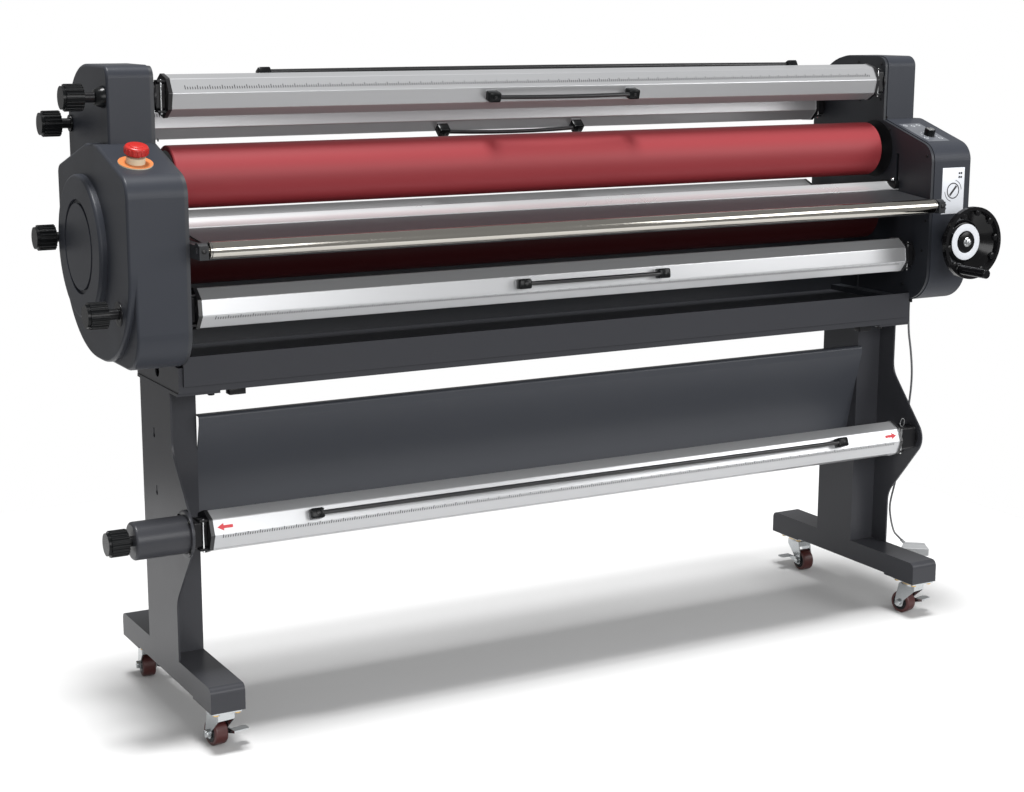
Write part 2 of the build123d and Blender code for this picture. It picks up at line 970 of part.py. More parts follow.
def handle(shaft, angle, reach, stand, bow_height):
    """Bowed grip bar on two clamps, on the flat that faces the angle above the front."""
    normal = (0, -cos(radians(angle)), sin(radians(angle)))
    seat = Vector(0, shaft["y"], shaft["z"]) + Vector(normal) * (flat_radius - 1)
    top = Plane(origin=seat, x_dir=(1, 0, 0), z_dir=normal)
    side = Plane(origin=seat, x_dir=(1, 0, 0), z_dir=(0, -normal[2], normal[1]))
    clamp_x = reach - handle_clamp / 2
    with BuildSketch(top) as feet:
        with Locations((clamp_x, 0), (-clamp_x, 0)):
            RectangleRounded(handle_clamp, handle_clamp_width, 4)
    extrude(feet.sketch, amount=stand + handle_radius)
    with BuildLine(side) as bow:
        ThreePointArc((-clamp_x, stand), (0, stand + bow_height), (clamp_x, stand))
    path = bow.wires()[0]
    with BuildSketch(Plane(origin=path @ 0, z_dir=path % 0)) as section:
        Circle(handle_radius)
    sweep(section.sketch, path=path)


def flatted(shaft, radius, start, end):
    """Octagonal bar along X with rounded corners."""
    with BuildSketch(across(start)) as section:
        with Locations((shaft["y"], shaft["z"])):
            RegularPolygon(radius, 8, major_radius=False, rotation=-shaft["vertex"])
        fillet(section.vertices(), flat_corner)
    extrude(section.sketch, amount=end - start)


def film_tube(name, shaft):
    """Flatted aluminium tube with its end plugs and handles."""
    y, z = shaft["y"], shaft["z"]
    left, right = -tube_left, shaft["right"]
    with BuildPart() as tube:
        flatted(shaft, flat_radius, left, right)
        for side, end in ((-1, left), (1, right)):
            cap_end = end + side * cap_thickness
            flatted(shaft, cap_radius, end, cap_end)
            rod(y, z, spigot_radius, cap_end, cap_end + side * spigot_length)
        rod(y, z, tube_bore, left, right, mode=Mode.SUBTRACT)
        through = spigot_length + cap_thickness
        rod(y, z, spigot_hole, left - through, right + through, mode=Mode.SUBTRACT)
        for details in shaft["handles"]:
            handle(shaft, *details)
    keep(tube.part, f"{name}_tube")


def axle_steps(shaft):
    """Axle out to the knob, then the thinner screw that the knob turns on."""
    face = knob_face(shaft)
    return face - part_gap, face + knob_length - 8


def chucks(name, shaft):
    """Saddles that carry the tube: the left one on the brake axle, the right one on a stub."""
    y, z = shaft["y"], shaft["z"]
    inner_wall = column_outer - plate if name == "take_up" else frame_inner
    wall = plate if name == "take_up" else frame_plate
    face = inner_wall - part_gap
    axle_end, screw_end = axle_steps(shaft)
    pieces = []
    for side, tube_length in ((-1, tube_left), (1, shaft["right"])):
        tube_end = tube_length + cap_thickness
        with BuildPart() as chuck:
            rod(y, z, chuck_disc, side * (face - chuck_disc_thickness), side * face)
            with BuildSketch(across(side * (tube_end + 1))):
                with Locations((y, z)):
                    Rectangle(chuck_width, chuck_height)
                    fillet(vertices(), 5)
            extrude(amount=side * (face - chuck_disc_thickness - tube_end - 1))
            with BuildSketch(across(side * (tube_end + 1))):
                with Locations((y, z + chuck_height / 2)):
                    Rectangle(2 * spigot_radius + 1, chuck_height + 2 * spigot_radius, mode=Mode.ADD)
            extrude(amount=side * (spigot_length + 1), mode=Mode.SUBTRACT)
            if side < 0:
                rod(y, z, shaft_axle, -axle_end, -face)
                rod(y, z, knob_screw, -screw_end, -axle_end)
            else:
                rod(y, z, shaft_axle, face, face + part_gap + wall + 3)
        pieces.append(chuck.part)
    keep(Compound(children=pieces), f"{name}_chucks")


def rear_lower_tube():
    """Plain take-up shaft whose axle is pinned into the tube."""
    shaft = shafts["rear_lower"]
    y, z = shaft["y"], shaft["z"]
    axle_end, screw_end = axle_steps(shaft)
    with BuildPart() as tube:
        left, right = -tube_left - cap_thickness, tube_right + cap_thickness
        flatted(shaft, flat_radius, left, right)
        rod(y, z, tube_bore, left + cap_thickness, right - cap_thickness, mode=Mode.SUBTRACT)
        rod(y, z, shaft_axle, -axle_end, left)
        rod(y, z, shaft_axle, right, frame_outer + 3)
        rod(y, z, spigot_hole, right - cap_thickness - 1, frame_outer + 3, mode=Mode.SUBTRACT)
        rod(y, z, knob_screw, -screw_end, -axle_end)
    keep(tube.part, "rear_lower_tube")


def knob_master():
    """Ribbed brake knob whose inner face is at X = 0 and which reaches to -X."""
    with BuildPart() as knob:
        with BuildSketch(across(0)):
            Circle(knob_radius)
            with PolarLocations(knob_radius, knob_ribs):
                Circle(knob_rib)
        extrude(amount=-(knob_length - 6))
        rod(0, 0, knob_radius - 2, -knob_length, -(knob_length - 6))
        rod(0, 0, knob_screw + running, -(knob_length - 7), 0, mode=Mode.SUBTRACT)
    return knob.part


def knobs():
    master = knob_master()
    for name, shaft in shafts.items():
        keep(master.moved(Location((-knob_face(shaft), shaft["y"], shaft["z"]))), f"{name}_knob")


def brake_housing():
    """Round housing of the take-up brake, bolted to the shaped column plate."""
    with BuildPart() as housing:
        rod(takeup_y, takeup_z, brake_radius, -brake_end, -column_outer)
        fillet(edges().group_by(Axis.X)[0], 5)
        rod(takeup_y, takeup_z, shaft_axle + running, -brake_end, -column_outer, mode=Mode.SUBTRACT)
    keep(housing.part, "brake_housing")


# Handwheel


def handwheel():
    """Dished wheel turning about an axis along Y, with its spindle and grip pin."""
    profile = (
        (0, hub_back_y),
        (hub_radius, hub_back_y),
        (hub_radius + 10, hub_back_y - 16),
        (rim_radius - 5, rim_y + 17),
        (rim_radius, rim_y + 12),
        (rim_radius, rim_y),
        (rim_radius - 8, rim_y),
        (rim_radius - 12, rim_y + 10),
        (hub_radius + 20, hub_face_y + 4),
        (hub_radius, hub_face_y),
        (0, hub_face_y),
    )
    axis_plane = Plane(origin=(wheel_x, 0, wheel_z), x_dir=(1, 0, 0), z_dir=(0, 0, 1))
    with BuildPart() as wheel:
        with BuildSketch(axis_plane):
            with BuildLine():
                Polyline(*profile, close=True)
            make_face()
        revolve(axis=Axis((wheel_x, 0, wheel_z), (0, 1, 0)))
        with BuildSketch(facing(hub_back_y)):
            with Locations((wheel_x, wheel_z)):
                Circle(spindle_radius)
        extrude(amount=-spindle_length)
        with BuildSketch(facing(rim_y + 14)):
            with Locations((wheel_x + grip_offset[0], wheel_z + grip_offset[1])):
                Circle(grip_pin)
        extrude(amount=14 + part_gap + grip_length - 6)
    keep(wheel.part, "handwheel")


def handwheel_grip():
    with BuildPart() as grip:
        with BuildSketch(facing(rim_y - part_gap)):
            with Locations((wheel_x + grip_offset[0], wheel_z + grip_offset[1])):
                Circle(grip_radius)
        extrude(amount=grip_length)
        fillet(edges().filter_by(GeomType.CIRCLE), 2.5)
        with BuildSketch(facing(rim_y)):
            with Locations((wheel_x + grip_offset[0], wheel_z + grip_offset[1])):
                Circle(grip_pin + running)
        extrude(amount=part_gap + grip_length - 5, mode=Mode.SUBTRACT)
    keep(grip.part, "handwheel_grip")


# Controls


def estop():
    base = control_plane(estop_x, control_y)
    with BuildPart() as collar:
        with BuildSketch(base):
            Circle(estop_plate)
        extrude(amount=2)
        with BuildSketch(base):
            Circle(estop_collar_radius)
        extrude(amount=estop_collar_height)
        with BuildSketch(base):
            Circle(estop_stem + running)
        extrude(amount=estop_collar_height, mode=Mode.SUBTRACT)
    keep(collar.part, "estop_collar")
    head = base.offset(estop_collar_height + estop_travel + part_gap)
    with BuildPart() as button:
        with BuildSketch(head):
            Circle(estop_head)
        extrude(amount=estop_head_height)
        fillet(edges().filter_by(GeomType.CIRCLE).sort_by(Axis.Z)[-1], 4)
        with BuildSketch(base.offset(-6)):
            Circle(estop_stem)
        extrude(amount=estop_collar_height + estop_travel + part_gap + 6)
    keep(button.part, "estop_button")


def speed_dial():
    base = control_plane(dial_x, dial_y)
    with BuildPart() as dial:
        with BuildSketch(base.offset(part_gap)):
            Circle(dial_radius)
        extrude(amount=dial_height)
        fillet(edges().filter_by(GeomType.CIRCLE).sort_by(Axis.Z)[-1], 1.5)
        with BuildSketch(base.offset(-10)):
            Circle(dial_stem)
        extrude(amount=10 + part_gap)
    keep(dial.part, "speed_dial")


def power_inlet():
    """Appliance inlet: flange outside the rear wall, body inside, three pins in the recess."""
    with BuildPart() as inlet:
        with BuildSketch(facing(cover_back + sheet)):
            with Locations((inlet_x, inlet_z)):
                Rectangle(inlet_width + 14, inlet_height + 8)
        extrude(amount=sheet)
        with BuildSketch(facing(cover_back)):
            with Locations((inlet_x, inlet_z)):
                Rectangle(inlet_width, inlet_height)
        extrude(amount=inlet_depth)
        with BuildSketch(facing(cover_back + sheet)):
            with Locations((inlet_x, inlet_z)):
                Rectangle(inlet_width - 20, inlet_height - 6)
        extrude(amount=18, mode=Mode.SUBTRACT)
        for pin_x, pin_z in ((-7, -2), (0, 3), (7, -2)):
            with BuildSketch(facing(cover_back + sheet - 19)):
                with Locations((inlet_x + pin_x, inlet_z + pin_z)):
                    Rectangle(2, 5)
            extrude(amount=-12)
    keep(inlet.part, "power_inlet")


# Foot switch


def switch_outline(depth_near, depth_far, inset=0):
    """Part of the switch's tapered plan between two distances from its far edge."""
    taper = (switch_near_width - switch_far_width) / switch_depth / 2

    def half(depth):
        return switch_far_width / 2 + taper * depth - inset

    far, near = switch_depth / 2 - depth_far, switch_depth / 2 - depth_near
    with BuildLine() as line:
        Polyline(
            (-half(depth_far), far), (half(depth_far), far),
            (half(depth_near), near), (-half(depth_near), near), close=True,
        )
    make_face(line.edges())


def foot_switch():
    """Base with a hinge block and cable boss, and the tapered treadle over its front."""
    place = Location((switch_x, switch_y, 0), (0, 0, switch_turn))
    pin_y = switch_depth / 2 - switch_block - switch_gap - switch_pin_depth
    pin_half = switch_far_width / 2 + switch_wall
    treadle_far = switch_block + switch_gap
    boss = Plane(place).to_local_coords(Vector(*cable_route[-1]))
    before = Plane(place).to_local_coords(Vector(*cable_route[-2]))
    with BuildPart() as base:
        with BuildSketch():
            with Locations((0, switch_wall)):
                Rectangle(switch_base_width, switch_depth - 4 * switch_wall)
        extrude(amount=switch_base_height)
        chamfer(edges().filter_by(Axis.X).group_by(Axis.Y)[0].sort_by(Axis.Z)[-1], 10)
        with BuildSketch():
            switch_outline(switch_block, 0)
        extrude(amount=switch_height)
        fillet(edges().filter_by(Axis.Z).group_by(Axis.Y)[-1], 5)
        with BuildSketch(across(-switch_base_width / 2)):
            with Locations((pin_y, switch_pin_z)):
                Circle(switch_pin + 2.5)
            with Locations((pin_y, switch_pin_z - 5)):
                Rectangle(2 * switch_pin + 5, 10)
        extrude(amount=switch_base_width)
        rod(pin_y, switch_pin_z, switch_pin, -pin_half, pin_half)
        with BuildSketch(Plane(origin=boss, z_dir=boss - before)) as end:
            Circle(cable_boss)
        extrude(end.sketch, amount=18)
        with BuildSketch():
            Rectangle(3 * switch_depth, 3 * switch_depth)
        extrude(amount=-switch_depth, mode=Mode.SUBTRACT)
    keep(base.part.moved(place), "foot_switch_base")
    with BuildPart() as treadle:
        with BuildSketch(level(switch_skirt)):
            switch_outline(switch_depth, treadle_far)
        extrude(amount=switch_height - switch_skirt)
        fillet(edges().filter_by(Axis.Z).group_by(Axis.Y)[0], 5)
        fillet(faces().sort_by(Axis.Z)[-1].edges().group_by(Axis.Y)[0], 2)
        with BuildSketch(level(switch_skirt)):
            switch_outline(switch_depth - switch_wall, treadle_far, inset=switch_wall)
        extrude(amount=switch_height - switch_skirt - switch_wall, mode=Mode.SUBTRACT)
        near = switch_near_width
        rod(pin_y, switch_pin_z, switch_pin + running, -near, near, mode=Mode.SUBTRACT)
    keep(treadle.part.moved(place), "foot_switch_treadle")
    hinge = Plane(place).from_local_coords(Vector(0, pin_y, switch_pin_z))
    print("treadle hinge", round(hinge.X, 2), round(hinge.Y, 2), round(hinge.Z, 2))


def cable_gland():
    with BuildPart() as gland:
        with BuildSketch(level(cover_bottom - gland_length)):
            with Locations((gland_x, gland_y)):
                RegularPolygon(gland_radius, 6)
        extrude(amount=gland_length)
    keep(gland.part, "cable_gland")


def corner_radii(points):
    """Each arc is as large as its two runs allow."""
    radii = []
    for before, corner, after in zip(points, points[1:], points[2:]):
        run_in = Vector(corner) - Vector(before)
        run_out = Vector(after) - Vector(corner)
        turn = radians(run_in.get_angle(run_out))
        radii.append(0.45 * min(run_in.length, run_out.length) / tan(turn / 2))
    return radii


def foot_cable():
    radii = corner_radii(cable_route)
    with BuildPart() as cable:
        with BuildLine():
            path = FilletPolyline(*cable_route, radius=radii)
        with BuildSketch(Plane(origin=path @ 0, z_dir=path % 0)):
            Circle(cable_diameter / 2)
        sweep()
    keep(cable.part, "foot_cable")
    section = cable_diameter ** 2 * 3.14159 / 4
    print("cable radii", [round(r) for r in radii], "length", round(path.length, 1))
    print("cable volume over section times length", round(cable.part.volume / section / path.length, 4))


foot_beam(-1, "foot_beam_left")
foot_beam(1, "foot_beam_right")
column(-1, "column_left")
column(1, "column_right")
slope_panel()
base_beam()
casters()
side_frame(-1, "side_frame_left")
side_frame(1, "side_frame_right")
back_panel()
left_cover()
right_cover()
feed_table()
guide_profile()
idler_brackets()
idler_bar()
roller_core(upper_z, frame_outer + block_depth, frame_outer + block_depth, "upper_roller_core")
roller_sleeve(upper_z, "upper_roller_sleeve")
roller_core(lower_z, coupling_outer - 4, frame_outer + 20, "lower_roller_core")
roller_sleeve(lower_z, "lower_roller_sleeve")
lift_blocks()
gear_motor()
drive_coupling()
for shaft_name, shaft_data in shafts.items():
    if shaft_name != "rear_lower":
        film_tube(shaft_name, shaft_data)
        chucks(shaft_name, shaft_data)
rear_lower_tube()
knobs()
brake_housing()
handwheel()
handwheel_grip()
estop()
speed_dial()
power_inlet()
foot_switch()
cable_gland()
foot_cable()
print("slope at the controls", round(slope_height(control_y), 2), "lower roller", round(lower_z, 2))
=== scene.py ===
import bpy
from math import atan2, cos, pi, radians, sin
from mathutils import Euler, Matrix, Vector


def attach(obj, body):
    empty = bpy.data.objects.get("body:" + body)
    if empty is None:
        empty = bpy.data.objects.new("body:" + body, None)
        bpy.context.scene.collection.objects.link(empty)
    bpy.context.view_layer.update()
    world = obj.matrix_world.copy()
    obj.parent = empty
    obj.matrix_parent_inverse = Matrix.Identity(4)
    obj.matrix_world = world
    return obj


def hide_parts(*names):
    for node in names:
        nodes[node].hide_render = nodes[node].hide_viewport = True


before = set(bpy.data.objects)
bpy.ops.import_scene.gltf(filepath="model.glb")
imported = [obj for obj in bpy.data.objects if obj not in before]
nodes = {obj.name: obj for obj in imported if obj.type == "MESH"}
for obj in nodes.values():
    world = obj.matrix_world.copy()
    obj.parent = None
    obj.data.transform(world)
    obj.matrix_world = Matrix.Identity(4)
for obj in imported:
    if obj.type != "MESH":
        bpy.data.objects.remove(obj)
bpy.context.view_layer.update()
scene = bpy.context.scene
for imported in list(bpy.data.materials):
    bpy.data.materials.remove(imported)

LEAN = radians(17.6)
SLOPE_UP = Vector((0, -sin(LEAN), cos(LEAN)))
STOP = Vector((-0.960, -0.125, 1.12416))
DIAL = Vector((0.937, -0.133, 1.12163))
HUB = Vector((0.946, -0.262, 0.886))
UPPER_AXIS = 1.085
FRAME_INSIDE = 0.888
PIN_FORWARD = 0.0242
HALF_FLATS = 0.038
LOOP_REACH = 0.0315
SHAFTS = {
    "upper_supply": (-0.005, 1.241, 8),
    "rear_upper": (0.215, 1.181, -20),
    "rear_lower": (0.216, 0.956, 0),
    "lower_supply": (-0.135, 0.848, -15),
    "take_up": (-0.165, 0.418, 0),
}
TUBE_COLOUR = (0.46, 0.465, 0.475)
TUBE_METAL = 0.6
TUBE_LEFT = 0.857
TUBE_RIGHT = {name: 0.848 for name in SHAFTS}
TUBE_RIGHT["take_up"] = 0.828
CASTERS = {
    "front_left": (-0.864, -0.231, 8),
    "front_right": (0.864, -0.231, 12),
    "rear_left": (-0.864, 0.208, -8),
    "rear_right": (0.864, 0.208, 178),
}
CABLE = [
    (0.940, -0.087, 0.724), (0.940, -0.087, 0.664), (0.946, -0.096, 0.603), (0.951, -0.098, 0.540),
    (0.953, -0.089, 0.474), (0.953, -0.078, 0.408), (0.952, -0.065, 0.342), (0.955, -0.052, 0.279),
    (0.969, -0.022, 0.229), (1.000, 0.020, 0.186), (1.038, 0.058, 0.143), (1.078, 0.096, 0.106),
    (1.115, 0.131, 0.078), (1.143, 0.1555, 0.0614), (1.1623, 0.1551, 0.044),
]


# Shader building blocks


def group(name, inputs, outputs):
    """New shader node group with its sockets, and its input and output nodes."""
    tree = bpy.data.node_groups.new(name, "ShaderNodeTree")
    for label, kind, default in inputs:
        socket = tree.interface.new_socket(label, in_out="INPUT", socket_type=kind)
        socket.default_value = default
    for label, kind in outputs:
        tree.interface.new_socket(label, in_out="OUTPUT", socket_type=kind)
    return tree, tree.nodes.new("NodeGroupInput"), tree.nodes.new("NodeGroupOutput")


def grain_group():
    """Fine bumps for powder coat, orange peel and moulded plastic."""
    tree, start, end = group(
        "surface_grain",
        [("Scale", "NodeSocketFloat", 400.0), ("Depth", "NodeSocketFloat", 0.05)],
        [("Normal", "NodeSocketVector")],
    )
    place = tree.nodes.new("ShaderNodeTexCoord")
    noise = tree.nodes.new("ShaderNodeTexNoise")
    noise.inputs["Detail"].default_value = 3.0
    bump = tree.nodes.new("ShaderNodeBump")
    bump.inputs["Distance"].default_value = 0.001
    tree.links.new(place.outputs["Object"], noise.inputs["Vector"])
    tree.links.new(start.outputs["Scale"], noise.inputs["Scale"])
    tree.links.new(start.outputs["Depth"], bump.inputs["Strength"])
    tree.links.new(noise.outputs["Fac"], bump.inputs["Height"])
    tree.links.new(bump.outputs["Normal"], end.inputs["Normal"])
    return tree


def wear_group():
    """Roughness that drifts a little over the surface."""
    tree, start, end = group(
        "uneven_gloss",
        [
            ("Roughness", "NodeSocketFloat", 0.4),
            ("Spread", "NodeSocketFloat", 0.06),
            ("Scale", "NodeSocketFloat", 9.0),
        ],
        [("Roughness", "NodeSocketFloat")],
    )
    place = tree.nodes.new("ShaderNodeTexCoord")
    noise = tree.nodes.new("ShaderNodeTexNoise")
    noise.inputs["Detail"].default_value = 4.0
    centre = tree.nodes.new("ShaderNodeMath")
    centre.operation = "SUBTRACT"
    centre.inputs[1].default_value = 0.5
    scaled = tree.nodes.new("ShaderNodeMath")
    scaled.operation = "MULTIPLY_ADD"
    tree.links.new(place.outputs["Object"], noise.inputs["Vector"])
    tree.links.new(start.outputs["Scale"], noise.inputs["Scale"])
    tree.links.new(noise.outputs["Fac"], centre.inputs[0])
    tree.links.new(centre.outputs[0], scaled.inputs[0])
    tree.links.new(start.outputs["Spread"], scaled.inputs[1])
    tree.links.new(start.outputs["Roughness"], scaled.inputs[2])
    tree.links.new(scaled.outputs[0], end.inputs["Roughness"])
    return tree


def drawn_group():
    """Lines along X, as drawing, brushing or grinding leaves them."""
    tree, start, end = group(
        "drawn_lines",
        [
            ("Along", "NodeSocketFloat", 2.0),
            ("Across", "NodeSocketFloat", 900.0),
            ("Depth", "NodeSocketFloat", 0.05),
        ],
        [("Normal", "NodeSocketVector"), ("Value", "NodeSocketFloat")],
    )
    place = tree.nodes.new("ShaderNodeTexCoord")
    scale = tree.nodes.new("ShaderNodeCombineXYZ")
    stretch = tree.nodes.new("ShaderNodeVectorMath")
    stretch.operation = "MULTIPLY"
    noise = tree.nodes.new("ShaderNodeTexNoise")
    noise.inputs["Scale"].default_value = 1.0
    noise.inputs["Detail"].default_value = 2.0
    bump = tree.nodes.new("ShaderNodeBump")
    bump.inputs["Distance"].default_value = 0.0005
    tree.links.new(start.outputs["Along"], scale.inputs["X"])
    tree.links.new(start.outputs["Across"], scale.inputs["Y"])
    tree.links.new(start.outputs["Across"], scale.inputs["Z"])
    tree.links.new(place.outputs["Object"], stretch.inputs[0])
    tree.links.new(scale.outputs[0], stretch.inputs[1])
    tree.links.new(stretch.outputs[0], noise.inputs["Vector"])
    tree.links.new(noise.outputs["Fac"], bump.inputs["Height"])
    tree.links.new(start.outputs["Depth"], bump.inputs["Strength"])
    tree.links.new(bump.outputs["Normal"], end.inputs["Normal"])
    tree.links.new(noise.outputs["Fac"], end.inputs["Value"])
    return tree


grain = grain_group()
wear = wear_group()
drawn = drawn_group()


def finish_material(
    name, colour, rough, metal=0.0, peel=None, lines=None, spread=0.05, shine=0.5
):
    """Material on one Principled shader: colour, uneven gloss, and grain or drawn lines."""
    material = bpy.data.materials.new(name)
    material.use_nodes = True
    tree = material.node_tree
    shader = tree.nodes["Principled BSDF"]
    shader.inputs["Base Color"].default_value = (*colour, 1)
    shader.inputs["Metallic"].default_value = metal
    shader.inputs["Specular IOR Level"].default_value = shine
    gloss = tree.nodes.new("ShaderNodeGroup")
    gloss.node_tree = wear
    gloss.inputs["Roughness"].default_value = rough
    gloss.inputs["Spread"].default_value = spread
    tree.links.new(gloss.outputs["Roughness"], shader.inputs["Roughness"])
    if peel:
        bumps = tree.nodes.new("ShaderNodeGroup")
        bumps.node_tree = grain
        bumps.inputs["Scale"].default_value, bumps.inputs["Depth"].default_value = peel
        tree.links.new(bumps.outputs["Normal"], shader.inputs["Normal"])
    if lines:
        bumps = tree.nodes.new("ShaderNodeGroup")
        bumps.node_tree = drawn
        bumps.inputs["Across"].default_value, bumps.inputs["Depth"].default_value = lines
        tree.links.new(bumps.outputs["Normal"], shader.inputs["Normal"])
    return material


cover_paint = finish_material(
    "cover_paint", (0.030, 0.033, 0.041), 0.38, peel=(900, 0.2), shine=0.2,
)
stand_paint = finish_material(
    "stand_paint", (0.036, 0.037, 0.042), 0.30, peel=(260, 0.15), shine=0.2,
)
panel_paint = finish_material(
    "panel_paint", (0.040, 0.043, 0.051), 0.36, peel=(500, 0.12), shine=0.3,
)
table_paint = finish_material(
    "table_paint", (0.018, 0.019, 0.021), 0.42, peel=(600, 0.1), shine=0.3,
)
frame_paint = finish_material("frame_paint", (0.016, 0.018, 0.023), 0.45, peel=(700, 0.15))
profile_metal = finish_material(
    "profile_metal", (0.66, 0.67, 0.68), 0.28, metal=0.7, lines=(1200, 0.03),
)
turned_steel = finish_material("turned_steel", (0.55, 0.56, 0.57), 0.30, metal=1.0)
chrome = finish_material("chrome", (0.82, 0.83, 0.84), 0.07, metal=1.0, spread=0.02)
dark_chrome = finish_material("dark_chrome", (0.46, 0.44, 0.40), 0.11, metal=1.0, spread=0.02)
zinc = finish_material("zinc", (0.50, 0.52, 0.53), 0.26, metal=1.0, peel=(150, 0.06), spread=0.12)
yellow_zinc = finish_material("yellow_zinc", (0.58, 0.40, 0.17), 0.33, metal=1.0)
black_metal = finish_material(
    "black_metal", (0.008, 0.008, 0.009), 0.30, peel=(600, 0.1), shine=0.2,
)
black_plastic = finish_material(
    "black_plastic", (0.005, 0.0055, 0.006), 0.24, peel=(1200, 0.08), shine=0.16,
)
black_rubber = finish_material("black_rubber", (0.085, 0.087, 0.092), 0.50)
wheel_plastic = finish_material("wheel_plastic", (0.004, 0.004, 0.0045), 0.18, shine=0.2)
red_silicone = finish_material(
    "red_silicone", (0.25, 0.026, 0.032), 0.55, lines=(700, 0.05), shine=0.4,
)
# Lower roller's sleeve: the upper roller's red silicone made much darker, painted shade for the
# shadow it sits in below the upper roller
dark_silicone = finish_material(
    "dark_silicone", (0.035, 0.004, 0.005), 0.50, lines=(700, 0.05), shine=0.3,
)
tread = finish_material("tread", (0.055, 0.010, 0.009), 0.40)
stop_red = finish_material("stop_red", (0.42, 0.016, 0.012), 0.30)
cream = finish_material("cream", (0.66, 0.58, 0.42), 0.40)
orange = finish_material("orange", (0.58, 0.18, 0.05), 0.45)
switch_grey = finish_material("switch_grey", (0.24, 0.245, 0.25), 0.42, peel=(500, 0.1))
white_plate = finish_material("white_plate", (0.66, 0.68, 0.72), 0.40)
ink = finish_material("ink", (0.015, 0.015, 0.017), 0.5)
pale_ink = finish_material("pale_ink", (0.50, 0.52, 0.54), 0.5)
red_ink = finish_material("red_ink", (0.50, 0.03, 0.04), 0.5)
overlay_grey = finish_material("overlay_grey", (0.105, 0.111, 0.124), 0.32)
screw_black = finish_material("screw_black", (0.012, 0.012, 0.012), 0.32, metal=0.6)


def shaft_mask_group():
    """1 on the black pieces fixed to a film shaft: beyond its ends or outside its flats."""
    tree, start, end = group(
        "shaft_mask",
        [
            ("Axis", "NodeSocketVector", (0, 0, 0)),
            ("Flats", "NodeSocketFloat", 0.0415),
            ("Left", "NodeSocketFloat", -0.857),
            ("Right", "NodeSocketFloat", 0.848),
        ],
        [("Mask", "NodeSocketFloat")],
    )
    place = tree.nodes.new("ShaderNodeTexCoord")
    from_axis = tree.nodes.new("ShaderNodeVectorMath")
    from_axis.operation = "SUBTRACT"
    across = tree.nodes.new("ShaderNodeVectorMath")
    across.operation = "MULTIPLY"
    across.inputs[1].default_value = (0, 1, 1)
    length = tree.nodes.new("ShaderNodeVectorMath")
    length.operation = "LENGTH"
    split = tree.nodes.new("ShaderNodeSeparateXYZ")
    tree.links.new(place.outputs["Object"], from_axis.inputs[0])
    tree.links.new(start.outputs["Axis"], from_axis.inputs[1])
    tree.links.new(from_axis.outputs[0], across.inputs[0])
    tree.links.new(across.outputs[0], length.inputs[0])
    tree.links.new(from_axis.outputs[0], split.inputs[0])
    last = None
    for value, compare, limit in (
        (length.outputs["Value"], "GREATER_THAN", start.outputs["Flats"]),
        (split.outputs["X"], "LESS_THAN", start.outputs["Left"]),
        (split.outputs["X"], "GREATER_THAN", start.outputs["Right"]),
    ):
        test = tree.nodes.new("ShaderNodeMath")
        test.operation = compare
        tree.links.new(value, test.inputs[0])
        tree.links.new(limit, test.inputs[1])
        if last is None:
            last = test
            continue
        either = tree.nodes.new("ShaderNodeMath")
        either.operation = "MAXIMUM"
        tree.links.new(last.outputs[0], either.inputs[0])
        tree.links.new(test.outputs[0], either.inputs[1])
        last = either
    tree.links.new(last.outputs[0], end.inputs["Mask"])
    return tree


shaft_mask = shaft_mask_group()


def shaft_material(name):
    """Drawn aluminium, black where its end plugs and handles are."""
    material = finish_material(
        f"{name}_metal", TUBE_COLOUR, 0.32, metal=TUBE_METAL, lines=(900, 0.03),
    )
    tree = material.node_tree
    shader = tree.nodes["Principled BSDF"]
    mask = tree.nodes.new("ShaderNodeGroup")
    mask.node_tree = shaft_mask
    y, z, _ = SHAFTS[name]
    to_object = nodes[f"{name}_tube"].matrix_world.inverted()
    mask.inputs["Axis"].default_value = to_object @ Vector((0, y, z))
    mask.inputs["Left"].default_value = -TUBE_LEFT - 0.0002
    mask.inputs["Right"].default_value = TUBE_RIGHT[name] + 0.0002
    colour = tree.nodes.new("ShaderNodeMix")
    colour.data_type = "RGBA"
    colour.inputs["A"].default_value = (*TUBE_COLOUR, 1)
    colour.inputs["B"].default_value = (0.008, 0.008, 0.009, 1)
    metal = tree.nodes.new("ShaderNodeMath")
    metal.operation = "MULTIPLY_ADD"
    metal.inputs[1].default_value = -TUBE_METAL
    metal.inputs[2].default_value = TUBE_METAL
    tree.links.new(mask.outputs["Mask"], colour.inputs["Factor"])
    tree.links.new(mask.outputs["Mask"], metal.inputs[0])
    tree.links.new(colour.outputs["Result"], shader.inputs["Base Color"])
    tree.links.new(metal.outputs[0], shader.inputs["Metallic"])
    return material


BY_NODE = {
    cover_paint: ["left_cover", "right_cover"],
    stand_paint: ["foot_beam_left", "foot_beam_right", "column_left", "column_right", "base_beam",
                  "brake_housing"],
    panel_paint: ["slope_panel"],
    table_paint: ["feed_table", "idler_brackets"],
    frame_paint: ["side_frame_left", "side_frame_right", "back_panel"],
    profile_metal: ["guide_profile"],
    turned_steel: ["upper_roller_core", "lower_roller_core", "lift_blocks", "drive_coupling"],
    dark_chrome: ["idler_bar"],
    black_metal: [f"{name}_chucks" for name in SHAFTS if name != "rear_lower"] + ["gear_motor"],
    black_plastic: [f"{name}_knob" for name in SHAFTS]
    + ["speed_dial", "power_inlet", "cable_gland"],
    wheel_plastic: ["handwheel", "handwheel_grip"],
    red_silicone: ["upper_roller_sleeve"],
    dark_silicone: ["lower_roller_sleeve"],
    switch_grey: ["foot_switch_base", "foot_switch_treadle"],
    stop_red: ["estop_button"],
    cream: ["estop_collar"],
    black_rubber: ["foot_cable"],
    zinc: ["caster_plates"]
    + [name for name in nodes if name.startswith(("caster_fork", "caster_pedal"))],
    tread: [name for name in nodes if name.startswith("caster_wheel")],
}
for name in SHAFTS:
    BY_NODE[shaft_material(name)] = [f"{name}_tube"]
for material, names in BY_NODE.items():
    for name in names:
        mesh = nodes[name].data
        mesh.materials.clear()
        mesh.materials.append(material)


# Small pieces


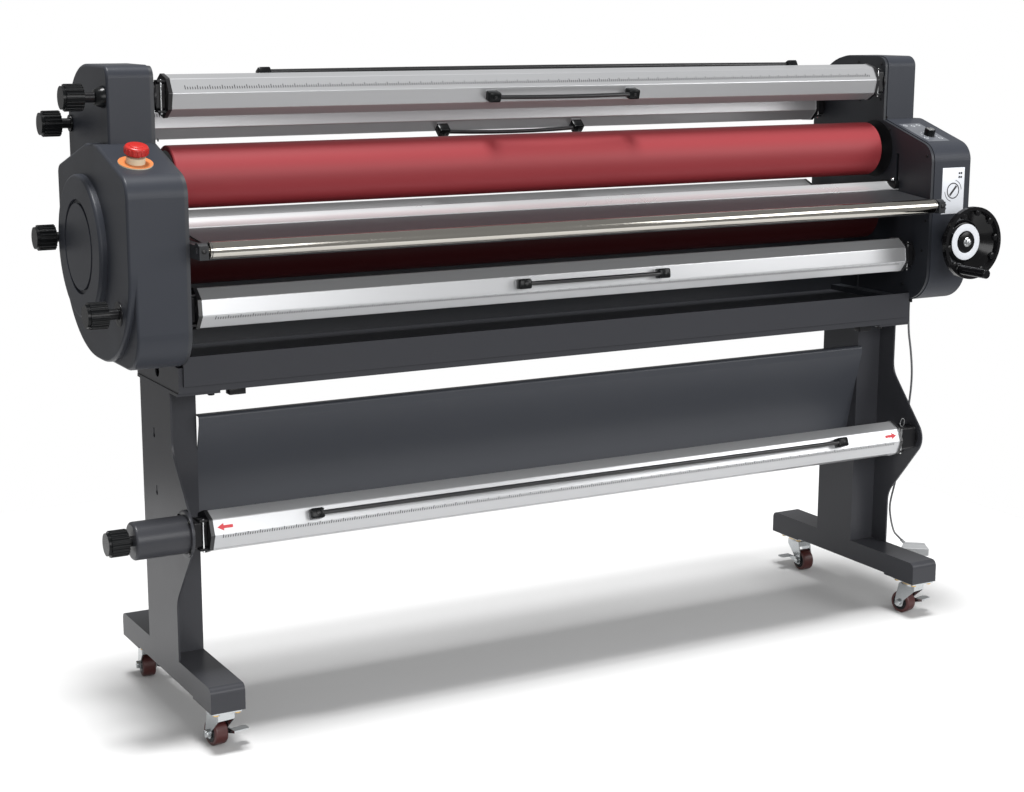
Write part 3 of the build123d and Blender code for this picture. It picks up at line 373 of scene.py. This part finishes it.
def settle(name, material, body, bevel=0.0, segments=2, smooth=40):
    """Name the new piece, put its place into the mesh, soften its edges, and let it ride."""
    piece = bpy.context.object
    piece.name = name
    bpy.ops.object.transform_apply(location=True, rotation=True, scale=True)
    if bevel:
        edge = piece.modifiers.new("edge", "BEVEL")
        edge.width = bevel
        edge.segments = segments
        edge.limit_method = "ANGLE"
        bpy.ops.object.modifier_apply(modifier="edge")
    bpy.ops.object.shade_smooth_by_angle(angle=radians(smooth))
    piece.data.materials.clear()
    piece.data.materials.append(material)
    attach(piece, body)
    return piece


def turned(
    name, start, axis, radius, length, material, body,
    bevel=0.0, sides=48, end_radius=None, roll=0.0,
):
    """Round piece from start along axis; end_radius tapers it, roll turns it on its axis."""
    direction = Vector(axis).normalized()
    turn = Matrix.Rotation(roll, 3, direction) @ direction.to_track_quat("Z", "Y").to_matrix()
    bpy.ops.object.select_all(action="DESELECT")
    bpy.ops.mesh.primitive_cone_add(
        vertices=sides, radius1=radius, radius2=radius if end_radius is None else end_radius,
        depth=length, location=Vector(start) + direction * length / 2, rotation=turn.to_euler(),
    )
    return settle(name, material, body, bevel)


def block(name, centre, dims, material, body, bevel=0.0, turn=(0, 0, 0)):
    bpy.ops.object.select_all(action="DESELECT")
    bpy.ops.mesh.primitive_cube_add(size=1, location=centre, rotation=turn)
    bpy.context.object.scale = dims
    return settle(name, material, body, bevel)


def ring(name, centre, axis, outer, inner, thick, material, body, bevel=0.0, sides=64):
    """Flat ring, its back face at the centre given, standing up by thick along axis."""
    direction = Vector(axis).normalized()
    bpy.ops.object.select_all(action="DESELECT")
    bpy.ops.mesh.primitive_circle_add(
        vertices=sides, radius=outer, fill_type="NGON", location=centre,
        rotation=direction.to_track_quat("Z", "Y").to_euler(),
    )
    bpy.ops.object.mode_set(mode="EDIT")
    bpy.ops.mesh.select_all(action="SELECT")
    bpy.ops.mesh.inset(thickness=outer - inner)
    bpy.ops.mesh.delete(type="FACE")
    bpy.ops.mesh.select_all(action="SELECT")
    bpy.ops.mesh.extrude_region_move(TRANSFORM_OT_translate={"value": direction * thick})
    bpy.ops.mesh.select_all(action="SELECT")
    bpy.ops.mesh.normals_make_consistent(inside=False)
    bpy.ops.object.mode_set(mode="OBJECT")
    return settle(name, material, body, bevel)


def screw(name, place, axis, radius, material, body, height=0.0016):
    """Button head with a hexagon socket."""
    direction = Vector(axis).normalized()
    turned(name, place, axis, radius, height, material, body, bevel=height * 0.45, sides=20)
    top = Vector(place) + direction * height
    turned(name + "_socket", top, axis, radius * 0.45, 0.0001, ink, body, sides=6)


def facet(name, angle):
    """Axis point, outward direction and direction up the flat of a film shaft's facet."""
    y, z, _ = SHAFTS[name]
    a = radians(angle)
    return Vector((0, y, z)), Vector((0, -cos(a), sin(a))), Vector((0, sin(a), cos(a)))


# Foot switch cable

route = bpy.data.curves.new("foot_switch_cable", "CURVE")
route.dimensions = "3D"
line = route.splines.new("NURBS")
line.points.add(len(CABLE) - 1)
for point, place in zip(line.points, CABLE):
    point.co = (*place, 1)
line.order_u = 3
line.use_endpoint_u = True
route.resolution_u = 10
route.bevel_depth = 0.0025
route.bevel_resolution = 4
route.materials.append(black_rubber)
cable = bpy.data.objects.new("foot_switch_cable", route)
scene.collection.objects.link(cable)
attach(cable, "stand")
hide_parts("foot_cable")


# Film shafts: handle clamps, rulers, arrows, latches

HANDLES = {
    "upper_supply": ((-14.5, 0.183, 0.018), (120.5, 0.660, 0.012)),
    "rear_upper": ((-42.5, 0.183, 0.018),),
    "lower_supply": ((7.5, 0.183, 0.018),),
    "take_up": ((22.5, 0.662, 0.018),),
}
for name, grips in HANDLES.items():
    for number, (angle, reach, stand) in enumerate(grips):
        axis_point, out, up = facet(name, angle)
        lean_back = (atan2(-out.z, -out.y), 0, 0)
        for side, hand in ((-1, "left"), (1, "right")):
            where = axis_point + out * (LOOP_REACH + stand) + Vector((side * (reach - 0.013), 0, 0))
            label = f"{name}_clamp_{number}_{hand}"
            block(label, where, (0.0268, 0.0238, 0.0208), black_plastic, name, 0.0035, lean_back)
            screw(f"{label}_screw", where + out * 0.0119, out, 0.0042, screw_black, name)


def ticks(name, first, along, out, step, count, width, height, material, body):
    """Row of plain marks lying on a surface, spaced by step along the given direction."""
    along, out = Vector(along), Vector(out)
    up = out.cross(along)
    turn = Matrix((along, up, out)).transposed().to_euler()
    bpy.ops.object.select_all(action="DESELECT")
    bpy.ops.mesh.primitive_plane_add(size=1, location=Vector(first) + out * 0.0003, rotation=turn)
    piece = bpy.context.object
    piece.scale = (width, height, 1)
    bpy.ops.object.transform_apply(location=False, rotation=False, scale=True)
    row = piece.modifiers.new("row", "ARRAY")
    row.use_relative_offset = False
    row.use_constant_offset = True
    row.constant_offset_displace = (step, 0, 0)
    row.count = count
    bpy.ops.object.modifier_apply(modifier="row")
    return settle(name, material, body)


RULERS = {
    "upper_supply": ((30.5, -0.0075), (-0.83, 0.83)),
    "lower_supply": ((-37.5, 0.006), (-0.83, 0.83)),
    "take_up": ((-22.5, 0.009), (-0.84, 0.81)),
    "rear_upper": ((2.5, 0.008), (-0.83, 0.83)),
}
for name, ((angle, shift), (left, right)) in RULERS.items():
    axis_point, out, up = facet(name, angle)
    base = axis_point + out * HALF_FLATS + up * shift
    for label, step, height in (("fine", 0.005, 0.0055), ("coarse", 0.025, 0.0085)):
        first = base + Vector((left, 0, 0)) + up * (height / 2)
        count = int((right - left) / step) + 1
        ticks(f"{name}_{label}", first, (1, 0, 0), out, step, count, 0.0016, height, ink, name)

axis_point, out, up = facet("take_up", 22.5)
for side, tip in ((-1, -0.850), (1, 0.820)):
    middle = axis_point + out * HALF_FLATS
    hand = "left" if side < 0 else "right"
    block(
        f"arrow_shank_{hand}", middle + Vector((tip - side * 0.0220, 0, 0)) + out * 0.0003,
        (0.0190, 0.0006, 0.0060), red_ink, "take_up", turn=(atan2(-out.z, -out.y), 0, 0),
    )
    turned(
        f"arrow_head_{hand}", middle + Vector((tip - side * 0.0086, 0, 0)), out, 0.0086, 0.0006,
        red_ink, "take_up", sides=3, roll=-side * pi / 2,
    )

for name in SHAFTS:
    if name == "rear_lower":
        continue
    y, z, _ = SHAFTS[name]
    for side, end in ((-1, TUBE_LEFT), (1, TUBE_RIGHT[name])):
        hand = "left" if side < 0 else "right"
        x = side * (end + 0.0175)
        turned(
            f"{name}_pin_{hand}", (x, y - PIN_FORWARD, z - 0.034), (0, 0, 1), 0.0022, 0.066, chrome,
            name, sides=16,
        )
        if (name, side) == ("take_up", 1):
            ring(
                "pull_ring", (x, y - PIN_FORWARD, z + 0.041), (side * 0.35, -0.94, 0), 0.0105,
                0.0088, 0.0016, chrome, name, sides=28,
            )
        for label, rise in (("top", 0.0285), ("low", -0.0285)):
            place = (x, y - 0.0185, z + rise)
            block(
                f"{name}_latch_{label}_{hand}", place, (0.017, 0.021, 0.0045), black_metal, name,
                0.001,
            )
        turned(f"{name}_washer_{hand}", (side * (end + 0.0082), y, z), (side, 0, 0), 0.017, 0.0006,
               turned_steel, name)

y, z, _ = SHAFTS["upper_supply"]
turned("knob_boss_upper", (-0.980, y, z), (-1, 0, 0), 0.022, 0.018, black_plastic, "stand", 0.002,
       end_radius=0.015)
y, z, _ = SHAFTS["lower_supply"]
ring(
    "knob_recess_lower", (-1.004, y, z), (-1, 0, 0), 0.0235, 0.0105, 0.0035, black_metal, "stand",
    0.0008,
)
for name, x, radius in (("rear_upper", -0.980, 0.017), ("rear_lower", -1.006, 0.015)):
    y, z, _ = SHAFTS[name]
    ring(
        f"knob_collar_{name}", (x, y, z), (-1, 0, 0), radius, 0.0105, 0.004, black_plastic, "stand",
        0.0008,
    )

# Head: table ruler, frame screws, pieces at the ends of the rollers

base = Vector((0, -0.176, 0.98597))
table_out = Vector((0, -0.108, 0.994)).normalized()
table_up = Vector((0, 0.994, 0.108)).normalized()
for label, step, height in (("fine", 0.005, 0.0022), ("coarse", 0.025, 0.0055)):
    first = base + Vector((-0.835, 0, 0)) + table_up * (height / 2) + table_out * 0.0004
    ticks(
        f"table_{label}", first, (1, 0, 0), table_out, step, int(1.67 / step) + 1, 0.0013, height,
        pale_ink, "stand",
    )
block(
    "table_edge", (0, -0.2085, 0.98275), (1.72, 0.0012, 0.0006), pale_ink, "stand",
    turn=(0.108, 0, 0),
)

FRAME_SCREWS = (
    (-0.014, 1.282), (0.070, 1.285), (-0.014, 1.200), (0.060, 1.195), (-0.052, 1.132),
    (-0.186, 1.078), (-0.190, 0.930), (-0.182, 0.860), (-0.120, 0.775), (-0.040, 1.160),
    (0.150, 1.050), (0.180, 0.860),
)
for number, (y, z) in enumerate(FRAME_SCREWS):
    for side, hand in ((-1, "left"), (1, "right")):
        screw(
            f"frame_screw_{hand}_{number}", (side * FRAME_INSIDE, y, z), (-side, 0, 0), 0.0034,
            screw_black, "stand",
        )
for side, hand in ((-1, "left"), (1, "right")):
    # Black disc in the frame's opening round the upper roller's journal, painted shade for that
    # dark opening; plate that shuts the seam above the beam; and the guide's end piece
    ring(
        f"bearing_plate_{hand}", (side * 0.8866, 0, UPPER_AXIS), (side, 0, 0), 0.066, 0.0225,
        0.0010, black_metal, "lift",
    )
    block(
        f"seam_plate_{hand}", (side * 0.886, 0.088, 0.755), (0.0036, 0.100, 0.050), frame_paint,
        "stand",
    )
    block(
        f"guide_end_{hand}", (side * 0.880, -0.071, 1.006), (0.012, 0.050, 0.018), black_plastic,
        "stand", 0.001,
    )
    turned(
        f"guide_end_knob_{hand}", (side * 0.880, -0.080, 1.015), (0, 0, 1), 0.0045, 0.006, chrome,
        "stand", 0.0008, sides=20,
    )
    screw(f"bracket_screw_{hand}", (side * 0.879, -0.2552, 0.970), (0, -1, 0), 0.0045, screw_black,
          "stand")
    # Thin black band round each end of the idler bar: painted shade standing in for a groove
    ring(
        f"idler_groove_{hand}", (side * 0.8615, -0.240, 0.970), (side, 0, 0), 0.01625, 0.0155,
        0.0016, ink, "idler",
    )

# Emergency stop

ring("stop_plate_face", STOP + SLOPE_UP * 0.0020, SLOPE_UP, 0.0324, 0.0150, 0.0004, orange, "stand")
crown = STOP + SLOPE_UP * 0.0204
for number in range(18):
    a = 2 * pi * number / 18
    side_way = Vector((1, 0, 0)) * cos(a) + SLOPE_UP.cross(Vector((1, 0, 0))) * sin(a)
    turned(
        f"stop_rib_{number}", crown + side_way * 0.0216 + SLOPE_UP * 0.0005, SLOPE_UP, 0.0017,
        0.0105, stop_red, "estop", 0.0005, sides=10,
    )
turned("stop_cap", crown + SLOPE_UP * 0.0148, SLOPE_UP, 0.0150, 0.0016, stop_red, "estop", 0.0007,
       end_radius=0.0135)

# Right control panel

panel_centre = Vector((0.9365, -0.116, 1.12703))
panel_turn = (LEAN, 0, 0)
block(
    "control_overlay", panel_centre + SLOPE_UP * 0.00015, (0.063, 0.112, 0.0003), overlay_grey,
    "stand", turn=panel_turn,
)
down_slope = Vector((0, -cos(LEAN), -sin(LEAN)))
for number in range(11):
    a = radians(-135 + 27 * number)
    spot = DIAL + (Vector((1, 0, 0)) * sin(a) - down_slope * cos(a)) * 0.0190 + SLOPE_UP * 0.0005
    bpy.ops.object.select_all(action="DESELECT")
    bpy.ops.mesh.primitive_cube_add(size=1, location=spot, rotation=(Matrix.Rotation(LEAN, 3, "X")
                                    @ Matrix.Rotation(-a, 3, "Z")).to_euler())
    bpy.context.object.scale = (0.0012, 0.0042, 0.0003)
    settle(f"dial_mark_{number}", pale_ink, "stand")
turned("dial_cap", DIAL + SLOPE_UP * 0.0153, SLOPE_UP, 0.0098, 0.0008, turned_steel, "dial", 0.0003)
block(
    "dial_pointer", DIAL + SLOPE_UP * 0.0163 - down_slope * 0.0055, (0.0014, 0.0070, 0.0004), ink,
    "dial", turn=panel_turn,
)
ICONS = ((0.916, -0.044), (0.936, -0.040), (0.954, -0.044), (0.914, 0.036), (0.955, 0.039))
for number, (x, down) in enumerate(ICONS):
    spot = Vector((x, panel_centre.y, panel_centre.z)) + down_slope * down + SLOPE_UP * 0.0004
    ring(f"icon_ring_{number}", spot, SLOPE_UP, 0.0052, 0.0041, 0.0002, pale_ink, "stand", sides=24)
    block(
        f"icon_bar_{number}", spot + SLOPE_UP * 0.0001, (0.0012, 0.0050, 0.0002), pale_ink, "stand",
        turn=(LEAN, 0, radians(35 * number)),
    )

# Plate on the front of the right cover, with a plain turning sign

block("front_plate", (0.953, -0.2052, 0.998), (0.066, 0.0008, 0.106), white_plate, "stand", 0.0003)
sign = Vector((0.953, -0.2056, 0.998))
front = Vector((0, -1, 0))
ring("sign_ring", sign, front, 0.0185, 0.0160, 0.0003, ink, "stand")
block(
    "sign_bar", sign + front * 0.0002, (0.0050, 0.0004, 0.0290), ink, "stand",
    turn=(0, radians(42), 0),
)
for number, (x, z) in enumerate(((0.017, 0.040), (0.023, 0.040), (0.017, 0.031), (0.023, 0.031),
                                 (-0.021, -0.040), (-0.021, -0.032))):
    turned(
        f"sign_dot_{number}", sign + Vector((x, 0, z)), front, 0.0026, 0.0003, ink, "stand",
        sides=20,
    )
for side in (-1, 1):
    for number in range(7):
        a = radians(20 + 10 * number)
        spot = sign + Vector((side * sin(a) * 0.0245, 0, side * cos(a) * 0.0245))
        block(
            f"sign_arc_{side}_{number}", spot + front * 0.0002, (0.0046, 0.0003, 0.0014), ink,
            "stand", turn=(0, a, 0),
        )

# Handwheel

ring(
    "wheel_ring", HUB + Vector((0, -0.0002, 0)), front, 0.0415, 0.0255, 0.0022, white_plate,
    "handwheel", 0.0006,
)
turned("wheel_hub", HUB, front, 0.0235, 0.0060, wheel_plastic, "handwheel", 0.0015)
ring(
    "wheel_washer", HUB + front * 0.0060, front, 0.0105, 0.0050, 0.0014, chrome, "handwheel",
    0.0003,
)
turned(
    "wheel_nut", HUB + front * 0.0072, front, 0.0078, 0.0055, turned_steel, "handwheel", 0.0006,
    sides=6,
)
turned(
    "wheel_stud", HUB + front * 0.0120, front, 0.0036, 0.0040, turned_steel, "handwheel", 0.0006,
    sides=20,
)
grip_foot = Vector((0.912, -0.2865, 0.827))
turned(
    "grip_boss", grip_foot + Vector((0, 0.012, 0)), front, 0.0155, 0.0150, wheel_plastic,
    "handwheel", 0.002, end_radius=0.0130,
)
for number in range(10):
    a = radians(36 * number + 8)
    bump = Vector((0.946 + cos(a) * 0.0700, -0.2800, 0.886 + sin(a) * 0.0700))
    turned(
        f"wheel_bump_{number}", bump, front, 0.0085, 0.0085, wheel_plastic, "handwheel", 0.003,
        sides=20,
    )

# Brake housing, columns and base beam

y, z, _ = SHAFTS["take_up"]
ring(
    "housing_flange", (-0.899, y, z), (-1, 0, 0), 0.0465, 0.0372, 0.0045, stand_paint, "stand",
    0.001,
)
for number in range(4):
    a = radians(45 + 90 * number)
    screw(
        f"housing_screw_{number}", (-0.9035, y + cos(a) * 0.0425, z + sin(a) * 0.0425), (-1, 0, 0),
        0.0036, screw_black, "stand", 0.003,
    )
for side, hand in ((-1, "left"), (1, "right")):
    for y in (-0.030, 0.080):
        turned(
            f"weld_{hand}_{round(y * 1000)}", (side * 0.833, y - 0.008, 0.137), (0, 1, 0), 0.0022,
            0.016, stand_paint, "stand", 0.001, sides=12,
        )
    for number, y in enumerate((-0.118, 0.060)):
        turned(
            f"beam_bolt_{hand}_{number}", (side * 0.825, y, 0.680), (0, 0, -1), 0.0070, 0.0060,
            black_metal, "stand", 0.0008, sides=6,
        )
        turned(
            f"beam_washer_{hand}_{number}", (side * 0.825, y, 0.6800), (0, 0, -1), 0.0095, 0.0014,
            turned_steel, "stand", sides=28,
        )
    block(
        f"under_beam_clip_{hand}", (side * 0.775, -0.120, 0.679), (0.034, 0.022, 0.013),
        black_metal, "stand", 0.0015,
    )

# Casters

PLATE_BOLTS = ((-0.022, -0.029), (0.022, -0.029), (-0.022, 0.029), (0.022, 0.029))
for corner, (x, y, turn_by) in CASTERS.items():
    for number, (dx, dy) in enumerate(PLATE_BOLTS):
        turned(
            f"caster_bolt_{corner}_{number}", (x + dx, y + dy, 0.083), (0, 0, -1), 0.0065, 0.0046,
            yellow_zinc, "stand", 0.0005, sides=6,
        )
    roll = Matrix.Rotation(radians(turn_by), 3, "Z")
    axle = roll @ Vector((1, 0, 0))
    centre = Vector((x, y, 0.026)) + roll @ Vector((0, 0.024, 0))
    turned(
        f"axle_nut_left_{corner}", centre - axle * 0.0180, -axle, 0.0085, 0.0062, zinc,
        f"fork_{corner}", 0.0008, sides=6,
    )
    turned(
        f"axle_nut_right_{corner}", centre + axle * 0.0212, axle, 0.0080, 0.0035, zinc,
        f"fork_{corner}", 0.0006, sides=6,
    )
    for way, hand in ((-1, "left"), (1, "right")):
        ring(
            f"hub_{hand}_{corner}", centre + axle * way * 0.0139, axle * way, 0.0185, 0.0056,
            0.0007, black_plastic, f"wheel_{corner}",
        )
    race = Vector((x, y, 0.0770))
    ring(f"race_{corner}", race, (0, 0, 1), 0.0245, 0.0215, 0.0045, yellow_zinc, "stand", 0.0008)

# Foot switch: black block on the floor under the grey shell, painted shade for the shadow under the
# switch

spin = radians(-38)
switch = Vector((1.176, 0.119, 0))
near = Vector((-sin(spin), cos(spin), 0)) * -1
block(
    "switch_foot", switch + Vector((0, 0, 0.0035)) - near * 0.003, (0.050, 0.050, 0.007),
    black_plastic, "stand", 0.001, (0, 0, spin),
)


# Room, light and camera

FLOOR_SIZE = 3.4
ROOM_LIGHT = 0.36
CAMERA_PLACE = (-2.0405, -3.4998, 1.4002)
CAMERA_DOWN, CAMERA_TURN, CAMERA_ROLL = 11.58, -29.07, 0.14
bpy.ops.object.select_all(action="DESELECT")
bpy.ops.mesh.primitive_plane_add(size=FLOOR_SIZE)
floor = bpy.context.object
floor.name = "floor"
pale = finish_material("floor_pale", (0.58, 0.58, 0.58), 0.8, shine=0.1)
floor.data.materials.append(pale)

# Soft light all round, with a white backdrop behind the floor's far edge
world = bpy.data.worlds.new("studio")
scene.world = world
world.use_nodes = True
sky = world.node_tree
room_light = sky.nodes["Background"]
room_light.inputs["Color"].default_value = (1, 1, 1, 1)
room_light.inputs["Strength"].default_value = ROOM_LIGHT
backdrop = sky.nodes.new("ShaderNodeBackground")
backdrop.inputs["Color"].default_value = (1, 1, 1, 1)
backdrop.inputs["Strength"].default_value = 1.0
seen = sky.nodes.new("ShaderNodeLightPath")
either = sky.nodes.new("ShaderNodeMixShader")
sky.links.new(seen.outputs["Is Camera Ray"], either.inputs[0])
sky.links.new(room_light.outputs[0], either.inputs[1])
sky.links.new(backdrop.outputs[0], either.inputs[2])
sky.links.new(either.outputs[0], sky.nodes["World Output"].inputs["Surface"])
scene.view_settings.view_transform = "Standard"


def soft_sun(name, towards, strength, spread):
    """Even light over the whole floor, from a wide patch of sky."""
    bpy.ops.object.light_add(type="SUN", location=towards)
    lamp = bpy.context.object
    lamp.name = name
    lamp.data.energy = strength
    lamp.data.angle = radians(spread)
    lamp.rotation_euler = Vector(towards).to_track_quat("Z", "Y").to_euler()


def softbox(name, place, target, width, height, watts):
    bpy.ops.object.light_add(type="AREA", location=place)
    lamp = bpy.context.object
    lamp.name = name
    lamp.data.shape = "RECTANGLE"
    lamp.data.size, lamp.data.size_y = width, height
    lamp.data.energy = watts
    lamp.rotation_euler = (Vector(target) - Vector(place)).to_track_quat("-Z", "Y").to_euler()


soft_sun("overhead", (-0.04, -0.05, 1.0), 4.9, 16)
softbox("front", (-0.6, -4.4, 2.0), (0, 0, 0.7), 3.6, 1.8, 130)
softbox("right", (2.3, -2.3, 1.8), (0.95, 0, 1.0), 1.2, 1.2, 30)

bpy.ops.object.camera_add(location=CAMERA_PLACE)
camera = bpy.context.object
aim = Euler((radians(90 - CAMERA_DOWN), 0, radians(CAMERA_TURN))).to_matrix()
turn = aim @ Matrix.Rotation(radians(CAMERA_ROLL), 3, "Z")
camera.rotation_euler = turn.to_euler()
camera.data.sensor_width = 36
camera.data.lens = 65.95
camera.data.clip_end = 300
scene.camera = camera
